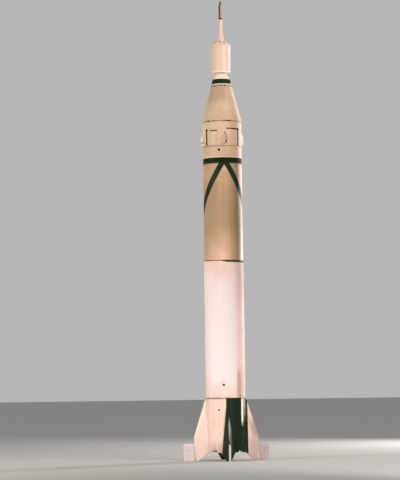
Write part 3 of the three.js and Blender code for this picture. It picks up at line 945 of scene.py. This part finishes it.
def dress_tail():
    """Rivet rows, lap strips and holes of the tail shell, and the frames inside its mouth."""
    rivets = []
    for height in TAIL_RIVET_RINGS:
        rivets += filter(clear_of_fins, around(height, 144))
    stringers = []
    for fin_angle in FIN_ANGLES:
        for offset in TAIL_RIVET_ROWS:
            rivets += column(fin_angle + offset, 0.6, 2.68, RIVET_SPACING)
        for offset in TAIL_STRINGERS:
            middle = fin_angle + offset
            stringers.append((middle - 0.6, middle + 0.6, 0.375, 0.698, 0.0335, SHELL_INNER_RADIUS - 0.03))
    studs("tail_rivets", rivets, RIVET, "tail_paint")
    laps = [(angle + 44.0, angle + 46.0, 0.475, 2.815, 0.0016) for angle in FIN_ANGLES]
    patches("tail_lap_strips", laps, "tail_paint")
    band("tail_top_lip", 2.785, 2.821, 0.0035, "tail_paint")
    studs("tail_vent_holes", facing(2.3, (-25.7, 154.3)), ("plug", 0.042, 0.004), SEAL_AND_SHADOW)
    studs("tail_drains", facing(1.93, (-26.7, 153.3)), ("plug", 0.012, 0.003), DARK)
    patches("tail_inner_stringers", stringers, "bare_steel")
    patches("tail_inner_frame", [(0.0, 359.9, 0.484, 0.49, 0.0635, SHELL_INNER_RADIUS - 0.06)], "bare_steel")


# Rivet rows on a side of a fin and of a rudder: the spacing, then (out, up) of the two ends of each row
FIN_ROWS = (
    (0.045, ((0.936, 0.43), (0.936, 2.46)), ((0.992, 0.36), (0.992, 2.24)), ((1.0, 2.2), (1.35, 1.07)),
     ((1.358, 1.03), (1.43, 0.78)), ((1.434, 0.74), (1.372, 0.05)), ((1.0, 0.33), (1.3, 0.06))),
    (0.05, ((1.02, 0.66), (1.4, 0.66)), ((1.02, 1.05), (1.33, 1.05)), ((1.02, 1.45), (1.21, 1.45)),
     ((1.02, 1.85), (1.09, 1.85))),
)
RUDDER_ROWS = (
    (0.042, ((1.51, 0.04), (1.51, 0.71)), ((1.938, 0.04), (1.938, 0.71))),
    (0.044, ((1.55, 0.03), (1.9, 0.03)), ((1.55, 0.7), (1.9, 0.7))),
    (0.042, ((1.725, 0.07), (1.725, 0.42)), ((1.725, 0.55), (1.725, 0.67))),
)

# Places on the side of a fin or rudder as (out, up), and half the width, half the height and the thickness
# of a fin's hatch
FIN_HATCH = (1.2, 0.85)
FIN_HATCH_SIZE = (0.09, 0.07, 0.004)
HATCH_SCREWS = 5
SCREW_INSET = 0.012
FIN_HUB = (1.375, STEERING_HEIGHT)
FIN_LUG = (1.387, 0.09)
RUDDER_PLUG = (1.74, STEERING_HEIGHT)
SIDES = (-1.0, 1.0)


def side_point(skin, angle, out, up, side):
    """Where the side of a fin or rudder lies at a distance out and a height, and the way it faces."""
    start = outward(angle) * out + sideways(angle) * side + UPWARD * up
    place, normal, _, _ = skin.ray_cast(start, sideways(angle) * -side)
    return place, normal


def both_sides(skin, angle, place):
    """The same place on both sides of a fin or rudder."""
    return [side_point(skin, angle, *place, side) for side in SIDES]


def side_rows(skin, angle, rows):
    """Points of all the rivet rows on both sides of a fin or rudder."""
    spots = []
    for side in SIDES:
        for spacing, *ends in rows:
            for start, end in ends:
                start, end = Vector(start), Vector(end)
                count = max(1, round((end - start).length / spacing))
                for number in range(count + 1):
                    spot = side_point(skin, angle, *start.lerp(end, number / count), side)
                    if spot[0] is not None:
                        spots.append(spot)
    return spots


def plate_mesh(place, normal, half_wide, half_tall, thick):
    """A flat cover plate lying on a skin."""
    wide, tall = skin_axes(normal)
    corners = []
    for lift in (-SINK, thick):
        for across, up in ((-1, -1), (1, -1), (1, 1), (-1, 1)):
            corners.append(place + wide * (across * half_wide) + tall * (up * half_tall) + normal * lift)
    return corners, loft(2, 4)


def plate_screws(place, normal, half_wide, half_tall, thick):
    """Screw places just inside a plate's four edges."""
    wide, tall = skin_axes(normal)
    spots = []
    for number in range(HATCH_SCREWS):
        share = 2.0 * number / (HATCH_SCREWS - 1) - 1.0
        for across, up in ((share, -1.0), (share, 1.0), (-1.0, share), (1.0, share)):
            along = wide * (across * (half_wide - SCREW_INSET)) + tall * (up * (half_tall - SCREW_INSET))
            spots.append((place + along + normal * thick, normal))
    return spots


def dress_fins():
    """Rivets, hatches, shaft covers and tie-down lugs of the fins."""
    for number, angle in enumerate(FIN_ANGLES, 1):
        skin = skin_of(f"fin_{number}")
        studs(f"fin_rivets_{number}", side_rows(skin, angle, FIN_ROWS), RIVET, "tail_paint")
        plates = [(*spot, *FIN_HATCH_SIZE) for spot in both_sides(skin, angle, FIN_HATCH)]
        hatches = merged(plate_mesh(*plate) for plate in plates)
        add_piece(f"fin_hatches_{number}", *hatches, "tail_paint", bevel=0.0015)
        screws = [spot for plate in plates for spot in plate_screws(*plate)]
        studs(f"fin_hatch_screws_{number}", screws, ("screw", 0.006, 0.0015), "bare_steel")
        hubs = both_sides(skin, angle, FIN_HUB)
        studs(f"fin_shaft_covers_{number}", hubs, ("plug", 0.045, 0.006), "tail_paint")
        studs(f"fin_lugs_{number}", both_sides(skin, angle, FIN_LUG), ("dish", 0.021, 0.006), SEAL_AND_SHADOW)


def dress_rudders():
    """Rivets and the balance plug of each rudder, which turn with it."""
    for number, angle in enumerate(FIN_ANGLES, 1):
        skin = skin_of(f"rudder_{number}")
        body = f"rudder_blade_{number}"
        rivets = side_rows(skin, angle, RUDDER_ROWS)
        studs(f"rudder_rivets_{number}", rivets, ("rivet", 0.0065, 0.0025), "rudder_paint", body)
        plugs = both_sides(skin, angle, RUDDER_PLUG)
        studs(f"rudder_plugs_{number}", plugs, ("plug", 0.022, 0.003), DARK, body)


# Bolt circles under the heat shield as (count, radius), their height, and the bolts on a side of a bracket
SHIELD_CIRCLES = ((60, 0.815), (40, 0.478))
SHIELD_LOW = 0.7
BRACKET_HALF = 0.05
BRACKET_BOLTS = [(out, up) for out in (0.68, 0.74, 0.8) for up in (0.46, 0.65)]


def dress_engine():
    """Bolt circles under the heat shield, and the lip and hoops of the engine bell."""
    bolts = []
    for count, radius in SHIELD_CIRCLES:
        bolts += [(place, -UPWARD) for place, _ in around(SHIELD_LOW, count, radius)]
    studs("heat_shield_bolts", bolts, BOLT, "bare_steel")
    band("bell_lip", 0.681, 0.699, 0.006, "hot_steel", 0.4285)
    for number, angle in enumerate(FIN_ANGLES, 1):
        heads = []
        for side in SIDES:
            aside = sideways(angle) * side
            heads += [(at(angle, out, up) + aside * BRACKET_HALF, aside) for out, up in BRACKET_BOLTS]
        studs(f"vane_bracket_bolts_{number}", heads, BOLT, "bare_steel")


# Weld beads of the upper tank: heights of those round it, and (low, high, angle) of those along it
ROUND_WELDS = (10.24, 11.35, 12.46)
LONG_WELDS = ((9.16, 10.24, 62.0), (10.254, 11.35, 118.0), (11.364, 12.46, 62.0), (12.474, 13.54, 118.0))
VENT_BOLTS, VENT_BOLT_CIRCLE, VENT_BOLT_OUT = (8, 0.0465, 0.0135)


def dress_tanks():
    """Joint bolts, weld beads and lips of the two tanks, the vent and the filling cap."""
    bolts = around(2.835, 72, 0.86) + around(9.105, 72, 0.86)
    studs("tank_joint_bolts", bolts, ("bolt", 0.007, 0.006), "bare_steel")
    band("upper_tank_low_lip", UPPER_LOW, UPPER_LOW + 0.03, 0.003, "buff_paint")
    for number, height in enumerate(ROUND_WELDS, 1):
        band(f"tank_weld_{number}", height, height + 0.014, 0.0016, "buff_paint")
    welds = []
    for low, high, angle in LONG_WELDS:
        for middle in (angle, angle + 180.0):
            welds.append((middle - 0.4, middle + 0.4, low, high, 0.0015))
    patches("tank_long_welds", welds, "buff_paint", bevel=0.0)
    # A dark strip under the tank joint, mostly on the right, where the joint's shadow falls: a painted
    # shadow.
    joint_shadow_top = LOWER_HIGH - 0.002
    joint_shadow = [(2.0, 84.0, LOWER_HIGH - 0.062, joint_shadow_top, 0.004),
             (-8.0, 2.0, LOWER_HIGH - 0.036, joint_shadow_top, 0.004)]
    patches("tank_joint_shadow", joint_shadow, SEAL_AND_SHADOW)
    angle = VENT["angle"]
    # A dark disc in the vent's mouth, where shade falls inside it: painted shade.
    studs("vent_shaded_throat", facing(VENT["height"], (angle,)), ("plug", 0.0385, 0.003), SEAL_AND_SHADOW)
    centre = at(angle, BODY_RADIUS + VENT_BOLT_OUT, VENT["height"])
    heads = ring_of(centre, sideways(angle), UPWARD, VENT_BOLT_CIRCLE, VENT_BOLTS)
    studs("vent_bolts", [(place, outward(angle)) for place in heads], ("bolt", 0.0055, 0.004), "bare_steel")
    cap = facing(FILL_CAP["height"], (FILL_CAP["angle"],), BODY_RADIUS + 0.0085)
    studs("fill_cap_dish", cap, ("dish", 0.056, 0.005), "frosted_tank")
    studs("tank_plugs", facing(2.96, (43.2, 223.2)), ("plug", 0.036, 0.008), SEAL_AND_SHADOW)


# Open slots in the seam above the doors: first angle, last angle and half height
SEAM_SLOTS = ((-53.5, -42.5, 0.026), (-35.0, -24.5, 0.017), (-3.4, 8.5, 0.014), (8.5, 22.8, 0.024))
SECTION_RIVET_RINGS = (13.86, 14.325, 15.43, 15.56)
BREATHER_ANGLE, BREATHER_HEIGHT, BREATHER_DEEP = (-14.9, 14.166, 0.059)
SLEEVE_SIDES = 28
SLEEVE_RINGS = ((0.0548, -0.059), (0.0548, 0.0), (0.0638, 0.0), (0.0638, 0.003), (0.0515, 0.003),
                (0.0515, -0.059))

# Access doors: number, first and last angle and top. Doors 1 and 3 are wide and hinged at their last angle.
DOORS = ((1, 8.5, 48.0, 15.13), (2, -55.5, -22.0, 15.10), (3, 188.5, 228.0, 15.13), (4, 124.5, 158.0, 15.10))
WIDE_DOORS = (1, 3)
DOOR_LOW = 14.42


def dress_instrument_section():
    """Rivets, seams, ports and doors of the instrument section and of the ring below it."""
    rivets = [spot for height in SECTION_RIVET_RINGS for spot in around(height, 120)]
    studs("section_rivets", rivets, RIVET, "cream_paint")
    # A lip at the foot of the instrument ring, in the paler tub enamel: the lip is real, and its pale tone is
    # a painted highlight along the ring's lower edge.
    band("base_low_lip_highlight", BASE_RING_LOW + 0.001, BASE_RING_LOW + 0.034, 0.003, "tub_paint")
    band("section_low_lip", SECTION_LOW + 0.001, SECTION_LOW + 0.02, 0.0025, "cream_paint")
    band("section_high_lip", SECTION_HIGH - 0.022, SECTION_HIGH - 0.001, 0.0025, "cream_paint")
    slots = []
    for turn in (0.0, 180.0):
        for start, end, half in SEAM_SLOTS:
            slots.append((start + turn, end + turn, SECTION_HIGH - half, SECTION_HIGH + half, 0.004))
    patches("section_seam_slots", slots, SEAL_AND_SHADOW)
    band("section_seam_line", SECTION_HIGH - 0.012, SECTION_HIGH + 0.012, 0.0015, SEAL_AND_SHADOW)
    band("ring_seam_line", RING_SEAM - 0.008, RING_SEAM + 0.008, 0.0015, SEAL_AND_SHADOW)
    band("tail_seam_line", TAIL_SEAM - 0.014, TAIL_SEAM + 0.036, 0.0015, SEAL_AND_SHADOW)
    place, direction = facing(BREATHER_HEIGHT, (BREATHER_ANGLE,))[0]
    studs("breather_collar", [(place, direction)], ("collar", 0.09, 0.007), "tub_paint")
    # A dark floor and lining in the breather hole, where shade falls inside it: painted shade.
    studs("breather_shaded_floor", [(place - direction * BREATHER_DEEP, direction)], ("plug", 0.0545, 0.002), SEAL_AND_SHADOW)
    sleeve = []
    for radius, lift in SLEEVE_RINGS:
        sleeve += ring_of(place + direction * lift, *skin_axes(direction), radius, SLEEVE_SIDES)
    add_piece("breather_shaded_sleeve", sleeve, loft(len(SLEEVE_RINGS), SLEEVE_SIDES, True), SEAL_AND_SHADOW)
    studs("ring_plugs", facing(14.205, (41.0, 221.0)), ("plug", 0.03, 0.005), SEAL_AND_SHADOW)
    for door in DOORS:
        dress_door(*door)


# Sizes on a door: the width of its frame, the gap round it, and where its screws and latches lie
FRAME_WIDTH = 0.034
FRAME_TURN = math.degrees(FRAME_WIDTH / BODY_RADIUS)
DOOR_GAP = 0.3
SCREW_TURN, SCREW_RISE, SCREW_SPACING, SCREW_ROWS = (0.9, 0.016, 3.3, 13)
LATCH_RADIUS = BODY_RADIUS + 0.008
LATCH_SHARES = (0.02, 0.39)


def dress_door(number, start, end, high):
    """The frame, screws, hinge bars and latches of one access door."""
    low = DOOR_LOW
    frame_rows = [
        (start - FRAME_TURN, start - DOOR_GAP, low - 0.006, high + FRAME_WIDTH, 0.0022),
        (end + DOOR_GAP, end + FRAME_TURN, low - 0.006, high + FRAME_WIDTH, 0.0022),
        (start - DOOR_GAP, end + DOOR_GAP, high + 0.006, high + FRAME_WIDTH, 0.0022),
    ]
    patches(f"door_frame_{number}", frame_rows, "cream_paint")
    first, last = start + SCREW_TURN, end - SCREW_TURN
    foot, head = low + SCREW_RISE, high - SCREW_RISE
    radius = BODY_RADIUS + 0.003
    across = round((end - start) / SCREW_SPACING)
    spots = []
    for screw in range(across + 1):
        angle = first + (last - first) * screw / across
        spots += facing(foot, (angle,), radius) + facing(head, (angle,), radius)
    for screw in range(1, SCREW_ROWS):
        spots += facing(foot + (head - foot) * screw / SCREW_ROWS, (first, last), radius)
    studs(f"door_screws_{number}", spots, SCREW, "bare_steel")
    if number in WIDE_DOORS:
        hinge_bar = (end - 0.9, end + 3.3, low + 0.01, high - 0.01, 0.009)
        top_bar = (start - 1.0, end + 2.0, high - 0.01, high + 0.042, 0.009)
        latch_angle = end + 1.0
    else:
        hinge_bar = (start - 4.6, start + 0.9, low + 0.01, high - 0.01, 0.009)
        top_bar = (start + 10.0, end + 1.5, high - 0.068, high - 0.022, 0.009)
        latch_angle = start - 1.0
    patches(f"door_hinge_bars_{number}", [hinge_bar, top_bar], SEAL_AND_SHADOW)
    latches = [spot for share in LATCH_SHARES
               for spot in facing(low + (high - low) * share, (latch_angle,), LATCH_RADIUS)]
    studs(f"door_latches_{number}", latches, ("plug", 0.044, 0.012), SEAL_AND_SHADOW)
    high_latch = facing(high - 0.005, (latch_angle,), LATCH_RADIUS)
    studs(f"door_high_latch_{number}", high_latch, ("plug", 0.058, 0.013), SEAL_AND_SHADOW)


# A dark strip along the rising side of a jet fairing, where the fairing's shadow falls: a painted shadow. Its
# points as (distance to the side, height) from its top to its foot, its half width at the top and what each
# point adds, and how far it stands proud
FAIRING_SHADOW_LINE = ((0.03, 15.0), (0.052, 14.9), (0.078, 14.8), (0.1, 14.71), (0.118, 14.64), (0.108, 14.57),
                 (0.09, 14.5), (0.062, 14.455))
SHADOW_HALF = 0.012
SHADOW_GROWTH = 0.002
SHADOW_PROUD = 0.008
NOZZLE_OUT, NOZZLE_UP, NOZZLE_ASIDE, NOZZLE_DROOP = (0.93, 14.56, 0.068, 0.3)

# Screws of a jet fairing as (aside, up), on both sides of it
FAIRING_SCREWS = ((0.07, 14.5), (0.09, 14.62), (0.06, 14.8))
FAIRING_SCREW_OUT = 0.891


def dress_jets():
    """The nozzle, a dark strip along one side as a painted shadow, and the screws of each attitude-jet
    fairing.
    """
    for number, angle in enumerate(FIN_ANGLES, 1):
        side = sideways(angle)
        mouth = at(angle, NOZZLE_OUT, NOZZLE_UP) + side * NOZZLE_ASIDE
        direction = (side - UPWARD * NOZZLE_DROOP).normalized()
        studs(f"jet_nozzle_{number}", [(mouth, direction)], ("dish", 0.04, 0.034), SEAL_AND_SHADOW)
        corners = []
        for point, (aside, height) in enumerate(FAIRING_SHADOW_LINE):
            middle = angle + math.degrees(math.asin(aside / BODY_RADIUS))
            turn = math.degrees((SHADOW_HALF + SHADOW_GROWTH * point) / BODY_RADIUS)
            for off, proud in ((-turn, -SINK), (-turn, SHADOW_PROUD), (turn, SHADOW_PROUD), (turn, -SINK)):
                corners.append(at(middle + off, BODY_RADIUS + proud, height))
        add_piece(f"jet_fairing_joint_{number}", corners, loft(len(FAIRING_SHADOW_LINE), 4), SEAL_AND_SHADOW)
        feet = [(at(angle, FAIRING_SCREW_OUT, up) + side * (aside * way), outward(angle))
                for aside, up in FAIRING_SCREWS for way in SIDES]
        studs(f"jet_fairing_screws_{number}", feet, ("screw", 0.006, 0.003), "bare_steel")


# Nose section: heights of its rivet rings, and the two ends of its rivet rows, its lap strips and its slots
NOSE_RIVET_RINGS = (15.66, 16.45, 17.12)
NOSE_ROWS = (15.7, 17.08)
NOSE_LAPS = (15.64, 17.1)
NOSE_SLOTS = (17.15, 17.212)
NOSE_MID_BAND = (16.42, 16.48)
NOSE_TOP_LIP = (17.236, 17.27)

# Angles of the nose's seams, how far its rivet rows lie from them, and its slots: how many, the angle of the
# first, and half the width of a short and of a long one
NOSE_SEAMS = [22.5 + 45.0 * number for number in range(8)]
ROW_SHIFTS = (-1.2, 1.2)
SLOT_COUNT, FIRST_SLOT, SHORT_SLOT, LONG_SLOT = (18, -46.5, 2.0, 4.2)

# Ribs of the turntable's housing: their two ends, how many, the angle of the first and half the width of one
RIBS = (17.56, 17.785)
RIB_COUNT, FIRST_RIB, RIB_HALF = (12, 10.0, 0.7)


def tapered(start, end, heights, proud, radius_at=taper_radius):
    """A row for patches on a cone between two angles and two heights."""
    low, high = heights
    return start, end, low, high, proud, radius_at(low), radius_at(high)


def dress_nose():
    """Rivets, seams and slots of the tapered nose, and the bolts of the black ring and the turntable."""
    rivets = []
    for height in NOSE_RIVET_RINGS:
        radius = taper_radius(height)
        rivets += around(height, round(math.tau * radius / 0.05), radius, lean=TAPER_LEAN)
    for angle in NOSE_SEAMS:
        for shift in ROW_SHIFTS:
            rivets += column(angle + shift, *NOSE_ROWS, RIVET_SPACING, *map(taper_radius, NOSE_ROWS))
    studs("nose_rivets", rivets, RIVET, "cream_paint")
    laps = [tapered(angle + 22.0, angle + 23.0, NOSE_LAPS, 0.0015) for angle in FIN_ANGLES]
    patches("nose_lap_strips", laps, "cream_paint")
    band("nose_mid_band", *NOSE_MID_BAND, 0.0018, "cream_paint", *map(taper_radius, NOSE_MID_BAND))
    slots = []
    for number in range(SLOT_COUNT):
        middle = FIRST_SLOT + 360.0 / SLOT_COUNT * number
        half = SHORT_SLOT if number % 3 == 1 else LONG_SLOT
        slots.append(tapered(middle - half, middle + half, NOSE_SLOTS, 0.004))
    patches("nose_ring_slots", slots, SEAL_AND_SHADOW)
    band("nose_top_lip", *NOSE_TOP_LIP, 0.004, "tub_paint", *map(taper_radius, NOSE_TOP_LIP))
    lean = math.degrees(math.atan2(TAPER_RADIUS - RING_TOP_RADIUS, ADAPTER_HIGH - ADAPTER_LOW))
    studs("black_ring_bolts", around(17.44, 16, 0.42, 8.0, lean), BOLT, "bare_steel")
    slope = math.degrees(math.atan2(HOUSING_RADII[0] - HOUSING_RADII[1], HOUSING_HIGH - HOUSING_LOW))
    studs("turntable_bolts", around(17.53, 24, housing_radius(17.53), lean=slope), BOLT, "tub_paint")
    ribs = []
    for number in range(RIB_COUNT):
        middle = FIRST_RIB + 360.0 / RIB_COUNT * number
        ribs.append(tapered(middle - RIB_HALF, middle + RIB_HALF, RIBS, 0.012, housing_radius))
    patches("turntable_ribs", ribs, "tub_paint")


# The tub's hoops and lap joints, and the rings of screws and of round holes in its cover: how far up each
# lies as a share, how many it has and the angle of the first
TUB_LOW_HOOP = (TUB_LOW + 0.004, TUB_LOW + 0.05)
TUB_HIGH_HOOP = (18.93, 18.99)
TUB_LAPS = (60.0, 180.0, 300.0)
COVER_SCREWS = (0.2, 30, 0.0)
COVER_HOLES = (0.74, 10, -13.0)

# Hoops of the last stage: name, low, high, how far each stands proud, its finish and its radii
THIN_HOOPS = (
    ("cone_collar", CONE_HIGH - 0.04, CONE_HIGH - 0.004, 0.003, "tub_paint", 0.1058, 0.1006),
    ("case_low_hoop", CASE_LOW + 0.004, CASE_LOW + 0.03, 0.004, "tub_paint", CASE_RADIUS),
    ("case_high_hoop", CASE_HIGH - 0.03, CASE_HIGH - 0.004, 0.003, "tub_paint", CASE_RADIUS),
    ("case_strap", 19.94, 19.955, 0.0015, "tub_paint", CASE_RADIUS),
    ("gap_hoop", CASE_HIGH + 0.028, CASE_HIGH + 0.047, 0.003, DARK, 0.074),
    ("tube_low_hoop", TUBE_LOW + 0.002, TUBE_LOW + 0.02, 0.002, "striped_steel", CASE_RADIUS),
    ("tube_high_hoop", TUBE_HIGH - 0.016, TUBE_HIGH - 0.001, 0.002, "striped_steel", CASE_RADIUS),
)


def dress_upper_stages():
    """Hoops, screws and ports of the spinning tub, its cover, the support cone and the last stage."""
    riding = {"body": UPPER_STAGES}
    screws = []
    for name, (low, high) in (("tub_low_hoop", TUB_LOW_HOOP), ("tub_high_hoop", TUB_HIGH_HOOP)):
        band(name, low, high, 0.005, "tub_paint", TUB_RADIUS, **riding)
        screws += around((low + high) / 2.0, 36, TUB_RADIUS + 0.005)
    studs("tub_screws", screws, ("rivet", 0.007, 0.003), "bare_steel", **riding)
    laps = [(angle - 1.2, angle + 1.2, 17.86, 18.93, 0.002, TUB_RADIUS) for angle in TUB_LAPS]
    patches("tub_lap_strips", laps, "tub_paint", **riding)
    rivets = []
    for angle in TUB_LAPS:
        for shift in (-0.7, 0.7):
            rivets += column(angle + shift, 17.9, 18.9, 0.05, TUB_RADIUS + 0.002, TUB_RADIUS + 0.002)
    studs("tub_rivets", rivets, ("rivet", 0.005, 0.002), "tub_paint", **riding)
    studs("tub_ports", facing(18.8, (-39.0, 141.0), TUB_RADIUS), ("plug", 0.012, 0.004), DARK, **riding)
    studs("flange_bolts", around(19.03, 24, FLANGE_RADIUS), BOLT, "tub_paint", **riding)
    rise = CONE_LOW - FLANGE_HIGH
    spread = COVER_RADII[0] - COVER_RADII[1]
    lean = math.degrees(math.atan2(spread, rise))
    rings = []
    for share, count, start in (COVER_SCREWS, COVER_HOLES):
        rings.append(around(FLANGE_HIGH + rise * share, count, COVER_RADII[0] - spread * share, start, lean))
    studs("cover_screws", rings[0], ("rivet", 0.007, 0.003), "bare_steel", **riding)
    studs("cover_holes", rings[1], ("plug", 0.036, 0.003), SEAL_AND_SHADOW, **riding)
    band("cone_foot", CONE_LOW + 0.001, CONE_LOW + 0.03, 0.01, "tub_paint", 0.158, 0.156, **riding)
    foot_bolts = around(CONE_LOW + 0.015, 16, 0.167)
    studs("cone_foot_bolts", foot_bolts, ("bolt", 0.006, 0.004), "bare_steel", **riding)
    for hoop in THIN_HOOPS:
        band(*hoop, **riding)
    radius = CASE_RADIUS + 0.002
    screws = around(TUBE_LOW + 0.011, 12, radius) + around(TUBE_HIGH - 0.0085, 12, radius)
    studs("tube_screws", screws, ("screw", 0.003, 0.0015), "bare_steel", **riding)


set_lights()
make_floor()
finish_solids()
make_frost()
dress_tail()
dress_fins()
dress_rudders()
dress_engine()
dress_tanks()
dress_instrument_section()
dress_jets()
dress_nose()
dress_upper_stages()
